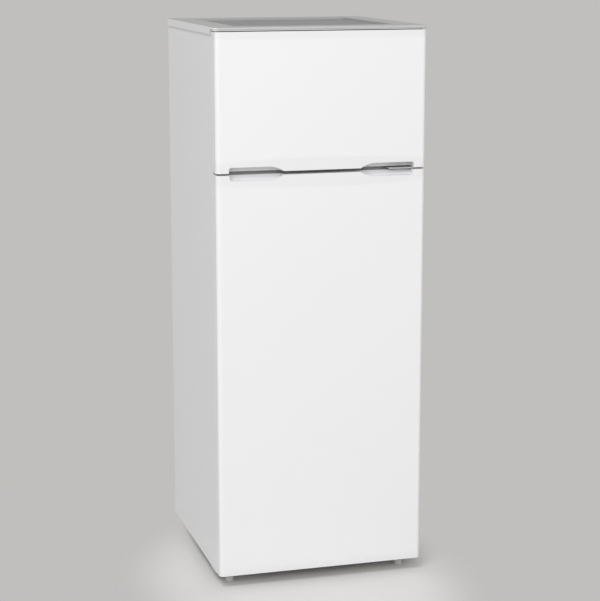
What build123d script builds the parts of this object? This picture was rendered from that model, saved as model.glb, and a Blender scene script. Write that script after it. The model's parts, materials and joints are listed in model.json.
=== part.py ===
from build123d import *
import math
import os

os.makedirs("parts", exist_ok=True)

# Top freezer refrigerator. Millimetres, +Z up, doors face -Y, doors hinge on the +X side.
# Origin: on the floor, at the centre of the overall width and depth.

# ---------------------------------------------------------------- overall sizes
HEIGHT = 1430.0
DEPTH = 568.0
CABINET_W = 540.0
SHEET = 1.0                # painted steel sheet
LINER_T = 1.5              # vacuum-formed plastic sheet
TOUCH = 0.01               # overrun of a cut past an open face

# ---------------------------------------------------------------- doors
DOOR_OVERHANG = 2.0        # how far a door stands out beyond each side of the cabinet
DOOR_T = 44.0
DOOR_EDGE_R = 11.0         # upright front corners
DOOR_BOTTOM_Z = 35.0
DOOR_TOP_DROP = 10.5       # from the cover's top down to the door's
GAP_DROP = 357.0           # from the top down to the gap between the doors
GAP_END = 5.0              # gap outside the finger pockets
GAP_MID = 9.0              # gap between the finger pockets
TOP_CAP_H = 18.0
BOTTOM_CAP_H = 15.0
SEAM_END = 24.5            # edge of the door to the cap seam, at the door's sides
SEAM_BOW = 9.5             # how far the seam bows away from the gap
CAP_WALL = 2.5
GASKET_T = 8.0
GASKET_W = 14.0
GASKET_INSET_X = 20.0
GASKET_INSET_Z = 14.0
GASKET_R = 6.0             # outer corners of the seal
GROOVE_DEPTH = 2.0         # the seal's waist: depth, width and distance from the door
GROOVE_W = 2.0
GROOVE_FROM = 3.0
LINER_INSET = 2.0
RIDGE_CLEAR = 10.0         # raised rim of the door liner, inside the cabinet's liner
RIDGE_W = 18.0
RIDGE_H = 28.0

# ---------------------------------------------------------------- finger pockets
POCKET_END = 32.0          # from the door's side to a pocket's outer end
POCKET_FLAT = 100.0        # level stretch of a pocket
POCKET_SLOPE = 40.0        # curved stretch that runs into the gap
POCKET_RISE = 17.0         # above the gap's level
POCKET_DEPTH = 28.0
POCKET_CORNER_R = 6.0
SCOOP_STEP = 2.0           # the scoop ends this much nearer the middle
SCOOP_DROP = 17.0          # below the gap's level

# ---------------------------------------------------------------- cabinet
CABINET_BOTTOM_Z = 30.0
FLANGE_W = 26.0            # front flange of a side panel
LINER_FLANGE = 12.0
SIDE_WALL = 38.0           # cabinet's outside to the cavity
FREEZER_BACK_WALL = 52.0
FRIDGE_BACK_WALL = 37.0
CEILING_DROP = 40.0        # from the top down to the freezer's ceiling
HALF_DIVIDER = 33.0        # half the wall between freezer and fresh-food space
FLOOR_WALL = 48.0          # cabinet's underside to the fresh-food floor
CAVITY_R = 6.0
RIM_R = 16.0               # corners of the door liners' rims
RIB_W = 9.0
RIB_H = 7.0
SHELF_CLEAR = 1.0

# ---------------------------------------------------------------- top cover
COVER_T = 3.0
COVER_SKIRT_H = 18.5
SKIRT_FRONT_T = 3.5        # front skirt, in front of the cabinet
TRIM_LIP_H = 5.0           # hanging edge of the front trim, above the doors
TRIM_SET = 1.0             # that edge, behind the doors' front
TRIM_TAB_W = 24.0
TRIM_TAB_REACH = 4.0       # behind the front skirt
TRIM_TAB_PITCH = 133.0
TRIM_TAB_COUNT = 4
COVER_CORNER_R = 11.0
COVER_EDGE_R = 2.0
PANEL_SIDE_RAIL = 66.0
PANEL_FRONT_RAIL = 66.0
PANEL_BACK_RAIL = 66.0
PANEL_SINK = 5.0
PANEL_T = 2.0
PANEL_CLEAR = 0.5
LEDGE_W = 9.0

# ---------------------------------------------------------------- machine compartment
MACHINE_DEPTH = 172.0
MACHINE_TOP_Z = 250.0
STEP_WALL = 38.0
PLATE_T = 2.0
PLATE_LIP_H = 24.0
WAIST_OUT = 1.5            # centre of a grommet's waist groove, outside it
WAIST_R = 3.0
GROMMET_R = 9.0
GROMMET_H = 13.0
COMPRESSOR_X = 60.0
COMPRESSOR_LEN = 150.0
COMPRESSOR_W = 116.0
COMPRESSOR_H = 136.0
COMPRESSOR_R = 34.0
COMPRESSOR_WALL = 3.0
COMPRESSOR_FLAT = 2.0      # half the flat left at each end of the shell
BELT_LEVEL = 74.8          # welded belt, above the foot plate
BELT_OUT = 3.0
BELT_H = 4.0
FOOT_PLATE_R = 10.0
FOOT_PLATE_L = 190.0
FOOT_PLATE_W = 100.0
FOOT_PLATE_T = 3.0
GROMMET_PITCH_X = 164.0
GROMMET_PITCH_Y = 70.0
RELAY_L = 46.0
RELAY_W = 60.0
RELAY_H = 62.0
RELAY_R = 5.0
RELAY_EDGE_R = 3.0
RELAY_RISE = 2.0
TRAY_L = 140.0
TRAY_W = 110.0
TRAY_H = 24.0
TRAY_T = 1.5
TRAY_R = 12.0
DRIER_R = 8.0
DRIER_H = 90.0
DRIER_DROP = 45.0          # below the roof of the compartment
PIPE_R = 3.0
SUCTION_R = 4.0
CAPILLARY_R = 1.0
DISCHARGE_BEND = 12.0
SUCTION_BEND = 14.0
SUCTION_OUT = 28.0         # suction pipe, beyond the compressor's end
SUCTION_RISE = 12.0        # suction port, above the discharge port
CAPILLARY_BEND = 7.0
CAPILLARY_DROP = 16.0
CAPILLARY_OUT = 40.0
GLAND_INSET = 70.0         # from the cabinet's left side
GLAND_RISE = 1.0           # above the middle of the plate's lip
GLAND_FLANGE_T = 2.0
GLAND_R = 6.0
GLAND_FLANGE_R = 9.0
GLAND_L = 12.0

# ---------------------------------------------------------------- condenser and evaporators
COIL_R = 2.5
COIL_PITCH = 50.0
COIL_RUNS = 8             # even, so that both ends come down
BEND_CLEAR = 0.5           # a bend's radius is this much under half the pitch
COIL_RISE = 80.0           # lower bends, above the roof of the compartment
COIL_TOP_DROP = 90.0       # upper bends, below the cabinet's top
COIL_END_DROP = 12.0       # lower ends, below the roof of the compartment
EVAPORATOR_T = 1.0
EVAPORATOR_TUBE_R = 3.5
EVAPORATOR_PITCH = 34.0
FREEZER_PLATE_INSET = 32.0 # cold plates, inside the cavity's edges
FREEZER_PLATE_RISE = 37.0
FRIDGE_PLATE_INSET = 62.0
FRIDGE_PLATE_DROP = 40.0
FRIDGE_PLATE_H = 420.0
DRAIN_X = 30.0
DRAIN_R = 5.0
DRAIN_FUNNEL_R = 10.0
DRAIN_WALL = 1.5

# ---------------------------------------------------------------- hinges
HINGE_INSET = 11.0         # pin centre from the door's side
PIN_R = 3.5
PIN_CLEAR = 0.05
BUSH_R = 6.0
BUSH_FLANGE_R = 7.5
BUSH_DEPTH = 14.0
BOSS_WALL = 2.0
HINGE_T = 3.0
TOP_HINGE_T = 2.4
TONGUE_W = 10.0            # arm of a hinge, to each side of its pin
TONGUE_R = 6.0
CENTRE_FLANGE_INSET = 92.0 # flange's inner end, from the cabinet's side
CENTRE_FLANGE_W = 54.0
CENTRE_FLANGE_H = 30.0
BOTTOM_FLANGE_INSET = 46.0
BOTTOM_FLANGE_H = 16.0
TOP_PAD_W = 50.0
TOP_PAD_L = 58.0
SCREW_R = 2.4
SCREW_HEAD_R = 4.6
SCREW_HEAD_H = 2.4
SCREW_L = 13.0
CENTRE_SCREW_IN = 12.0     # screws, inside the edges of their brackets
CENTRE_SCREW_UP = 6.5
BOTTOM_SCREW_IN = 8.0
BOTTOM_SCREW_OUT = 6.0
TOP_SCREW_FRONT = 20.0
TOP_SCREW_BACK = 10.0

# ---------------------------------------------------------------- feet and rollers
FOOT_INSET = 38.0
FOOT_SET_BACK = 12.0
FOOT_R = 10.0
FOOT_H = 12.0
FOOT_STEM_R = 4.0
FOOT_EDGE_R = 1.5
FOOT_FLUTES = 12
FOOT_FLUTE_R = 1.8
FOOT_FLUTE_OUT = 0.8       # centre of a flute, outside the pad
FOOT_PLATE_DROP = 3.0
FOOT_BRACKET_L = 56.0
FOOT_CLEAR = 0.08
ROLLER_INSET = 30.0
ROLLER_SET = 116.0         # axle, in front of the cabinet's back
ROLLER_R = 12.5
ROLLER_W = 20.0
ROLLER_EDGE_R = 1.0
AXLE_R = 3.0
AXLE_CLEAR = 0.06
CHEEK_T = 2.0
CHEEK_GAP = 0.5
BRACKET_L = 44.0

# ---------------------------------------------------------------- inside fittings
SHELF_T = 4.0
SHELF_R = 4.0
SHELF_FRONT_SET = 104.0    # shelf edge, behind the cabinet's front
SHELF_DROP = 240.0         # upper shelf, below the fresh-food ceiling
SHELF_PITCH = 255.0
SHELF_COUNT = 2
LID_SINK = 2.0             # crisper lid, below the step
CRISPER_CLEAR = 5.0
CRISPER_GAP = 18.0         # drawer's rim, below the lid
CRISPER_R = 14.0
CRISPER_LIP = 10.0
CRISPER_GRIP_H = 14.0
CRISPER_LIP_R = 1.0
CRISPER_T = 2.5
CRISPER_SET = 124.0        # drawer front, behind the cabinet's front
CRISPER_TAPER = 6.0
WIRE_SHELF_RISE = 134.0    # above the freezer's floor
WIRE_FRAME_R = 2.5
WIRE_R = 1.5
WIRE_PITCH = 22.0
HOUSING_T = 36.0
HOUSING_L = 200.0
HOUSING_H = 72.0
HOUSING_R = 7.0
HOUSING_DROP = 78.0        # its middle, below the fresh-food ceiling
HOUSING_SET = 44.0         # front of the housing, behind the cabinet's front
HOUSING_WALL = 2.5
KNOB_SET = 62.0            # knob centre, behind the front of the housing
KNOB_R = 17.0
KNOB_H = 13.0
KNOB_GAP = 0.5
KNOB_EDGE_R = 2.0
KNOB_FLUTES = 18
KNOB_FLUTE_R = 1.4
KNOB_FLUTE_OUT = 0.6       # centre of a flute, outside the knob
SHAFT_R = 3.0
SHAFT_L = 16.0
THERMOSTAT_L = 40.0
THERMOSTAT_H = 34.0
THERMOSTAT_T = 18.0
THERMOSTAT_R = 3.0
LAMP_SET = 150.0           # lamp centre, behind the front of the housing
LAMP_HOLE_L = 70.0
LAMP_HOLE_H = 50.0
LENS_T = 1.6
LENS_R = 5.0
LENS_DEPTH = 9.0
BULB_R = 8.0
BULB_NECK_R = 7.0
BULB_NECK_L = 16.0
BULB_OFF = 2.0             # bulb's axis, further from the wall than the holder's
HOLDER_R = 8.0
HOLDER_L = 14.0
PLUNGER_R = 4.0
PLUNGER_EDGE_R = 1.5
GUIDE_L = 22.0             # length of the plunger's guide
PLUNGER_TIP = 0.3          # left between the plunger and the closed door
PLUNGER_TRAVEL = 3.0

# ---------------------------------------------------------------- door fittings
BIN_T = 2.2
BIN_DEPTH = 80.0
BIN_H = 70.0
BIN_RISE = 32.0            # lowest bin, above the fresh-food floor
BIN_DROP = 250.0           # top bin, below the fresh-food ceiling
BIN_PITCH = 320.0
RACK_DEPTH = 58.0
RACK_H = 52.0
RACK_RISE = 29.0           # lower rack, above the freezer's floor
RACK_PITCH = 120.0
RACK_COUNT = 2
BIN_R = 12.0

# ---------------------------------------------------------------- levels worked out from these
FRONT_Y = -DEPTH / 2
BACK_Y = DEPTH / 2
DOOR_BACK_Y = FRONT_Y + DOOR_T
CABINET_FRONT_Y = DOOR_BACK_Y + GASKET_T
CABINET_BACK_Y = BACK_Y - COVER_T
HALF_CABINET = CABINET_W / 2
HALF_COVER = HALF_CABINET + COVER_T
HALF_INNER = HALF_CABINET - SHEET
HALF_CAVITY = HALF_CABINET - SIDE_WALL
HALF_DOOR = HALF_CABINET + DOOR_OVERHANG
HALF_OPENING = HALF_CABINET - FLANGE_W
COVER_UNDER_Z = HEIGHT - COVER_T
SKIRT_FRONT_Y = CABINET_FRONT_Y - SKIRT_FRONT_T
COVER_FRONT_Y = FRONT_Y + TRIM_SET
TRIM_Z = HEIGHT - TRIM_LIP_H
SKIRT_Z = HEIGHT - COVER_SKIRT_H
DOOR_TOP_Z = HEIGHT - DOOR_TOP_DROP
GAP_Z = HEIGHT - GAP_DROP
FREEZER_CEILING_Z = HEIGHT - CEILING_DROP
FREEZER_FLOOR_Z = GAP_Z + HALF_DIVIDER
FRIDGE_CEILING_Z = GAP_Z - HALF_DIVIDER
FRIDGE_FLOOR_Z = CABINET_BOTTOM_Z + FLOOR_WALL
POCKET_OUT_X = HALF_DOOR - POCKET_END
POCKET_FLAT_X = POCKET_OUT_X - POCKET_FLAT
POCKET_IN_X = POCKET_FLAT_X - POCKET_SLOPE
SCOOP_OUT_X = POCKET_OUT_X - SCOOP_STEP
FREEZER_DOOR_Z = GAP_Z + GAP_END / 2
FRIDGE_DOOR_TOP_Z = GAP_Z - GAP_END / 2
HINGE_X = HALF_DOOR - HINGE_INSET
HINGE_Y = FRONT_Y + DOOR_T / 2
BUSH_FLANGE_T = (GAP_END - HINGE_T) / 2
TOP_ARM_Z = COVER_UNDER_Z - TOP_HINGE_T
BOTTOM_ARM_Z = DOOR_BOTTOM_Z - BUSH_FLANGE_T - HINGE_T
MACHINE_FRONT_Y = CABINET_BACK_Y - MACHINE_DEPTH
STEP_FRONT_Y = MACHINE_FRONT_Y - STEP_WALL
STEP_TOP_Z = MACHINE_TOP_Z + STEP_WALL
FRIDGE_BACK_Y = CABINET_BACK_Y - FRIDGE_BACK_WALL
FREEZER_BACK_Y = CABINET_BACK_Y - FREEZER_BACK_WALL
RAIL_LOW_Z = FRIDGE_CEILING_Z + LINER_FLANGE
RAIL_HIGH_Z = FREEZER_FLOOR_Z - LINER_FLANGE
BOTTOM_RAIL_TOP_Z = FRIDGE_FLOOR_Z - LINER_FLANGE
PLATE_TOP_Z = CABINET_BOTTOM_Z + PLATE_T
COMPRESSOR_FOOT_Z = PLATE_TOP_Z + GROMMET_H
COMPRESSOR_Z = COMPRESSOR_FOOT_Z + FOOT_PLATE_T
COMPRESSOR_TOP_Z = COMPRESSOR_Z + COMPRESSOR_H
COMPRESSOR_Y = MACHINE_FRONT_Y + MACHINE_DEPTH / 2
DRIER_TOP_Z = MACHINE_TOP_Z - DRIER_DROP
COIL_Y = CABINET_BACK_Y - SHEET - COIL_R
COIL_BOTTOM_Z = MACHINE_TOP_Z + COIL_RISE
COIL_TOP_Z = HEIGHT - COIL_TOP_DROP
COIL_DROP_Z = MACHINE_TOP_Z - COIL_END_DROP
GLAND_X = GLAND_INSET - HALF_CABINET
CENTRE_FLANGE_X = HALF_CABINET - CENTRE_FLANGE_INSET
BOTTOM_FLANGE_X = HALF_CABINET - BOTTOM_FLANGE_INSET
FOOT_X = HALF_CABINET - FOOT_INSET
ROLLER_X = HALF_CABINET - ROLLER_INSET
ROLLER_Y = CABINET_BACK_Y - ROLLER_SET
LID_Z = STEP_TOP_Z - LID_SINK
CRISPER_H = LID_Z - CRISPER_GAP - FRIDGE_FLOOR_Z
WIRE_SHELF_Z = FREEZER_FLOOR_Z + WIRE_SHELF_RISE
SHELF_LEVELS = [FRIDGE_CEILING_Z - SHELF_DROP - SHELF_PITCH * shelf for shelf in range(SHELF_COUNT)]
TOP_BIN_Z = FRIDGE_CEILING_Z - BIN_DROP
BIN_LEVELS = [FRIDGE_FLOOR_Z + BIN_RISE, TOP_BIN_Z - BIN_PITCH, TOP_BIN_Z]
RACK_LEVELS = [FREEZER_FLOOR_Z + RACK_RISE + RACK_PITCH * rack for rack in range(RACK_COUNT)]
HOUSING_Z = FRIDGE_CEILING_Z - HOUSING_DROP
SHELF_FRONT_Y = CABINET_FRONT_Y + SHELF_FRONT_SET
HALF_SHELF = HALF_CAVITY - SHELF_CLEAR
HOUSING_FRONT_Y = CABINET_FRONT_Y + HOUSING_SET
HOUSING_INNER_X = HALF_CAVITY - HOUSING_T
HOUSING_LOW_Z = HOUSING_Z - HOUSING_H / 2
RIDGE_OUT_X = HALF_CAVITY - RIDGE_CLEAR
RIDGE_IN_X = RIDGE_OUT_X - RIDGE_W
RIDGE_BACK_Y = DOOR_BACK_Y + RIDGE_H
PLUNGER_X = RIDGE_OUT_X - RIDGE_W / 2


# ---------------------------------------------------------------- helpers
def span(x0, x1, y0, y1, z0, z1):
    """A box between two corners."""
    centre = Pos((x0 + x1) / 2, (y0 + y1) / 2, (z0 + z1) / 2)
    return centre * Box(abs(x1 - x0), abs(y1 - y0), abs(z1 - z0))


def upright(radius, x, y, z0, z1):
    """A cylinder along Z."""
    return Pos(x, y, (z0 + z1) / 2) * Cylinder(radius, abs(z1 - z0))


def along_x(radius, x0, x1, y, z):
    """A cylinder along X."""
    return Pos((x0 + x1) / 2, y, z) * Rot(0, 90, 0) * Cylinder(radius, abs(x1 - x0))


def along_y(radius, x, y0, y1, z):
    """A cylinder along Y."""
    return Pos(x, (y0 + y1) / 2, z) * Rot(90, 0, 0) * Cylinder(radius, abs(y1 - y0))


def rounded_span(x0, x1, y0, y1, z0, z1, radius, axis=Axis.Z):
    """A box between two corners with the edges along one axis rounded."""
    block = span(x0, x1, y0, y1, z0, z1)
    return fillet(block.edges().filter_by(axis), radius)


def pipe(points, radius, bend):
    """A round tube along straight runs joined by arcs."""
    path = FilletPolyline(*points, radius=bend)
    start = Plane(origin=path @ 0, z_dir=path % 0)
    return sweep(start * Circle(radius), path=path)


def one_solid(shape):
    """The largest solid of a shape."""
    return shape.solids().sort_by(SortBy.VOLUME)[-1]


def save(shape, node):
    """Write one node."""
    export_step(shape, f"parts/{node}.step")


def group(*solids):
    """Separate solids kept as one node."""
    return Compound(children=[one_solid(solid) for solid in solids])


# ---------------------------------------------------------------- cabinet shell
def side_panel(side):
    """Bent sheet: the side and its front flange."""
    outer = side * HALF_CABINET
    wall = span(outer, side * HALF_INNER, CABINET_FRONT_Y, CABINET_BACK_Y, CABINET_BOTTOM_Z, COVER_UNDER_Z)
    flange = span(outer, side * HALF_OPENING, CABINET_FRONT_Y, CABINET_FRONT_Y + SHEET,
                  CABINET_BOTTOM_Z, SKIRT_Z)
    return wall + flange


def front_rail(z0, z1):
    """Channel between the side panels' front flanges."""
    web = span(-HALF_OPENING, HALF_OPENING, CABINET_FRONT_Y, CABINET_FRONT_Y + SHEET, z0, z1)
    lips = [span(-HALF_OPENING, HALF_OPENING, CABINET_FRONT_Y + SHEET, CABINET_FRONT_Y + LINER_FLANGE,
                 z, z + SHEET) for z in (z0, z1 - SHEET)]
    return web + lips[0] + lips[1]


def rear_panel():
    """Flat sheet between the side panels, above the machine compartment."""
    return span(-HALF_INNER, HALF_INNER, CABINET_BACK_Y - SHEET, CABINET_BACK_Y, MACHINE_TOP_Z, COVER_UNDER_Z)


def base_plate():
    """Bent sheet: the underside, the riser and the roof of the machine compartment."""
    floor = span(-HALF_INNER, HALF_INNER, CABINET_FRONT_Y + LINER_FLANGE, MACHINE_FRONT_Y,
                 CABINET_BOTTOM_Z, CABINET_BOTTOM_Z + SHEET)
    riser = span(-HALF_INNER, HALF_INNER, MACHINE_FRONT_Y - SHEET, MACHINE_FRONT_Y,
                 CABINET_BOTTOM_Z, MACHINE_TOP_Z + SHEET)
    roof = span(-HALF_INNER, HALF_INNER, MACHINE_FRONT_Y, CABINET_BACK_Y - SHEET,
                MACHINE_TOP_Z, MACHINE_TOP_Z + SHEET)
    return floor + riser + roof - drain_bore() - coil_room()


def fridge_space(grow=0.0, flush=0.0):
    """The fresh-food space, with its step over the machine compartment."""
    front = CABINET_FRONT_Y - flush
    block = rounded_span(-HALF_CAVITY - grow, HALF_CAVITY + grow, front - CAVITY_R, FRIDGE_BACK_Y + grow,
                         FRIDGE_FLOOR_Z - grow, FRIDGE_CEILING_Z + grow, CAVITY_R, Axis.Y)
    block -= span(-HALF_CABINET, HALF_CABINET, front - 2 * CAVITY_R, front, 0, HEIGHT)
    return block - span(-HALF_CABINET, HALF_CABINET, STEP_FRONT_Y + grow, BACK_Y, 0, STEP_TOP_Z - grow)


def freezer_space(grow=0.0, flush=0.0):
    """The freezer space."""
    return rounded_span(-HALF_CAVITY - grow, HALF_CAVITY + grow, CABINET_FRONT_Y - flush,
                        FREEZER_BACK_Y + grow, FREEZER_FLOOR_Z - grow, FREEZER_CEILING_Z + grow,
                        CAVITY_R, Axis.Y)


def liner_flange(z0, z1):
    """Front lip of a liner, flush with the cabinet's front."""
    return span(-HALF_OPENING, HALF_OPENING, CABINET_FRONT_Y, CABINET_FRONT_Y + LINER_T, z0, z1)


def shelf_ribs(level, depth_to):
    """The pair of ribs that carries one shelf."""
    ribs = []
    for side in (-1, 1):
        ribs.append(span(side * (HALF_CAVITY + LINER_T / 2), side * (HALF_CAVITY - RIB_W),
                         SHELF_FRONT_Y - RIB_H, depth_to, level - RIB_H, level))
    return ribs


def fridge_liner():
    """Vacuum-formed liner of the fresh-food space, with its ribs."""
    shell = fridge_space(LINER_T) + liner_flange(BOTTOM_RAIL_TOP_Z, RAIL_LOW_Z)
    shell -= fridge_space(0, 1)
    for level in SHELF_LEVELS:
        for rib in shelf_ribs(level, FRIDGE_BACK_Y):
            shell += rib
    for rib in shelf_ribs(LID_Z, STEP_FRONT_Y):
        shell += rib
    return shell - drain_bore()


def freezer_liner():
    """Vacuum-formed liner of the freezer space, with its ribs."""
    shell = freezer_space(LINER_T) + liner_flange(RAIL_HIGH_Z, SKIRT_Z)
    shell -= freezer_space(0, 1)
    for rib in shelf_ribs(WIRE_SHELF_Z, FREEZER_BACK_Y):
        shell += rib
    return shell


def drain_bore():
    """Room for the drain hose, down from the step of the fresh-food liner."""
    return upright(DRAIN_R, DRAIN_X, COMPRESSOR_Y, MACHINE_TOP_Z - DRAIN_FUNNEL_R, STEP_TOP_Z + LINER_T)


def drain_hose():
    """Funnel on the step and a hose down to the drip tray."""
    low = COMPRESSOR_TOP_Z + TRAY_T + DRAIN_R
    hose = upright(DRAIN_R, DRAIN_X, COMPRESSOR_Y, low, STEP_TOP_Z)
    hose += upright(DRAIN_FUNNEL_R, DRAIN_X, COMPRESSOR_Y, STEP_TOP_Z, STEP_TOP_Z + DRAIN_WALL)
    return hose - upright(DRAIN_R - DRAIN_WALL, DRAIN_X, COMPRESSOR_Y, low - 1, STEP_TOP_Z + 2 * DRAIN_WALL)


# ---------------------------------------------------------------- insulation and cold plates
def freezer_plate_edges():
    """Width, height, front and middle level of the freezer's cold plate."""
    height = FREEZER_CEILING_Z - FREEZER_FLOOR_Z - 2 * FREEZER_PLATE_RISE
    return (2 * (HALF_CAVITY - FREEZER_PLATE_INSET), height, FREEZER_BACK_Y + LINER_T,
            (FREEZER_FLOOR_Z + FREEZER_CEILING_Z) / 2)


def fridge_plate_edges():
    """Width, height, front and middle level of the fresh-food cold plate."""
    return (2 * (HALF_CAVITY - FRIDGE_PLATE_INSET), FRIDGE_PLATE_H, FRIDGE_BACK_Y + LINER_T,
            FRIDGE_CEILING_Z - FRIDGE_PLATE_DROP - FRIDGE_PLATE_H / 2)


def freezer_evaporator():
    """Cold plate and its tube, behind the freezer liner."""
    return cold_plate(*freezer_plate_edges())


def fridge_evaporator():
    """Cold plate and its tube, behind the fresh-food liner."""
    return cold_plate(*fridge_plate_edges())


def cold_plate(width, height, front, centre_z):
    """A plate against a liner with a serpentine tube behind it."""
    plate = span(-width / 2, width / 2, front, front + EVAPORATOR_T,
                 centre_z - height / 2, centre_z + height / 2)
    margin = EVAPORATOR_PITCH / 2
    runs = int((height - margin) // EVAPORATOR_PITCH)
    low = centre_z - EVAPORATOR_PITCH * (runs - 1) / 2
    points = []
    for run in range(runs):
        z = low + run * EVAPORATOR_PITCH
        ends = [-width / 2 + margin, width / 2 - margin]
        for x in ends if run % 2 == 0 else reversed(ends):
            points.append((x, front + EVAPORATOR_T / 2 + EVAPORATOR_TUBE_R, z))
    return plate + pipe(points, EVAPORATOR_TUBE_R, EVAPORATOR_PITCH / 2 - BEND_CLEAR)


def plate_room(width, height, front, centre_z):
    """Room for a cold plate in the insulation."""
    depth = EVAPORATOR_T + 2 * EVAPORATOR_TUBE_R
    return span(-width / 2, width / 2, front - LINER_T, front + depth, centre_z - height / 2,
                centre_z + height / 2)


def coil_x(run):
    """Place of one upright run of the condenser."""
    return COIL_PITCH * (run - (COIL_RUNS - 1) / 2)


def condenser_coil():
    """One serpentine tube on the rear panel, with both ends down in the machine compartment."""
    points = []
    for run in range(COIL_RUNS):
        if run % 2 == 0:
            levels = [COIL_DROP_Z if run == 0 else COIL_BOTTOM_Z, COIL_TOP_Z]
        else:
            levels = [COIL_TOP_Z, COIL_DROP_Z if run == COIL_RUNS - 1 else COIL_BOTTOM_Z]
        points += [(coil_x(run), COIL_Y, z) for z in levels]
    return pipe(points, COIL_R, COIL_PITCH / 2 - BEND_CLEAR)


def coil_room():
    """Room for the condenser between the insulation and the rear panel."""
    side = coil_x(COIL_RUNS - 1) + COIL_PITCH / 2
    return span(-side, side, COIL_Y - COIL_R, CABINET_BACK_Y, MACHINE_TOP_Z, COIL_TOP_Z + COIL_PITCH / 2)


def foam_blocks():
    """Plain blocks, face to face, that fill the cabinet between its skins and its liners."""
    side, wall = HALF_INNER, HALF_CAVITY + LINER_T
    front, back = CABINET_FRONT_Y + SHEET, CABINET_BACK_Y - SHEET
    riser, roof = MACHINE_FRONT_Y - SHEET, MACHINE_TOP_Z + SHEET
    step_y, step_z = STEP_FRONT_Y + LINER_T, STEP_TOP_Z - LINER_T
    floor_z, ceiling_z = FRIDGE_FLOOR_Z - LINER_T, FRIDGE_CEILING_Z + LINER_T
    freezer_low, freezer_high = FREEZER_FLOOR_Z - LINER_T, FREEZER_CEILING_Z + LINER_T
    blocks = [span(-side, side, front, back, freezer_high, SKIRT_Z),
              span(-wall, wall, FREEZER_BACK_Y + LINER_T, back, freezer_low, freezer_high),
              span(-side, side, front, back, ceiling_z, freezer_low),
              span(-wall, wall, FRIDGE_BACK_Y + LINER_T, back, step_z, ceiling_z),
              span(-wall, wall, step_y, back, roof, step_z),
              span(-wall, wall, step_y, riser, floor_z, roof),
              span(-side, side, front, riser, CABINET_BOTTOM_Z + SHEET, floor_z)]
    for sign in (-1, 1):
        blocks.append(span(sign * wall, sign * side, front, back, freezer_low, freezer_high))
        blocks.append(span(sign * wall, sign * side, front, back, roof, ceiling_z))
        blocks.append(span(sign * wall, sign * side, front, riser, floor_z, roof))
    return blocks


def cabinet_foam(others):
    """Rigid foam of the cabinet, with room for all that is set in it."""
    rooms = [coil_room(), plate_room(*freezer_plate_edges()), plate_room(*fridge_plate_edges()), drain_bore()]
    return group(*[cut_all(block, rooms + others) for block in foam_blocks()])


# ---------------------------------------------------------------- top cover
def panel_edges():
    """Plan of the sunk panel: x to each side, front and back."""
    return HALF_COVER - PANEL_SIDE_RAIL, COVER_FRONT_Y + PANEL_FRONT_RAIL, BACK_Y - PANEL_BACK_RAIL


def cover_block(front, back, low, end):
    """Block as wide as the cover, rounded at one end: 0 the front, -1 the back; the other end is a seam."""
    block = span(-HALF_COVER, HALF_COVER, front, back, low, HEIGHT)
    block = fillet(block.edges().filter_by(Axis.Z).group_by(Axis.Y)[end], COVER_CORNER_R)
    rim = block.faces().sort_by(Axis.Z)[-1].edges().sort_by(Axis.Y)
    return fillet(rim[:-1] if end == 0 else rim[1:], COVER_EDGE_R)


def trim_tabs():
    """Tabs of the front trim, through the cover's front skirt."""
    tabs = []
    for step in range(TRIM_TAB_COUNT):
        x = (step - (TRIM_TAB_COUNT - 1) / 2) * TRIM_TAB_PITCH
        tabs.append(span(x - TRIM_TAB_W / 2, x + TRIM_TAB_W / 2, SKIRT_FRONT_Y - TOUCH,
                         CABINET_FRONT_Y + TRIM_TAB_REACH, TRIM_Z, COVER_UNDER_Z))
    return tabs


def top_cover():
    """Moulded frame with a skirt, and a ledge for the sunk panel."""
    outer = cover_block(SKIRT_FRONT_Y, BACK_Y, SKIRT_Z, -1)
    inside = span(-HALF_CABINET, HALF_CABINET, CABINET_FRONT_Y, CABINET_BACK_Y, 0, COVER_UNDER_Z)
    side, front, back = panel_edges()
    low = HEIGHT - PANEL_SINK - PANEL_T - PANEL_T
    well = span(-side - COVER_T, side + COVER_T, front - COVER_T, back + COVER_T, low, COVER_UNDER_Z)
    well_room = span(-side, side, front, back, low + PANEL_T, HEIGHT + 1)
    hole = span(-side + LEDGE_W, side - LEDGE_W, front + LEDGE_W, back - LEDGE_W, 0, HEIGHT)
    return cut_all(one_solid(outer - (inside - well) - well_room - hole - hinge_notch()), trim_tabs())


def cover_front_trim():
    """Moulded front edge of the cover, out over the doors, hooked into the front skirt."""
    outer = cover_block(COVER_FRONT_Y, SKIRT_FRONT_Y, TRIM_Z, 0)
    room = span(-HALF_CABINET, HALF_CABINET, COVER_FRONT_Y + COVER_T, SKIRT_FRONT_Y - COVER_T, 0,
                COVER_UNDER_Z)
    trim = outer - room
    for tab in trim_tabs():
        trim += tab
    return one_solid(trim - hinge_notch())


def top_panel():
    """Plate in the cover's well."""
    side, front, back = panel_edges()
    top = HEIGHT - PANEL_SINK
    return span(-side + PANEL_CLEAR, side - PANEL_CLEAR, front + PANEL_CLEAR, back - PANEL_CLEAR,
                top - PANEL_T, top)


def hinge_notch():
    """Opening in the cover's front skirt and trim for the top hinge."""
    return span(HINGE_X - TONGUE_W - PANEL_CLEAR, HALF_CABINET, SKIRT_FRONT_Y - COVER_T - TOUCH,
                CABINET_FRONT_Y + SHEET, SKIRT_Z - 1, COVER_UNDER_Z)


# ---------------------------------------------------------------- hinges
def hinge_arm(x_from, y_from, z0, z1):
    """Flat arm of a hinge, rounded at the pin's end."""
    arm = span(x_from, HALF_INNER, HINGE_Y - TONGUE_W, y_from, z0, z1)
    return fillet(arm.edges().filter_by(Axis.Z).group_by(Axis.Y)[0], TONGUE_R)


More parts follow.
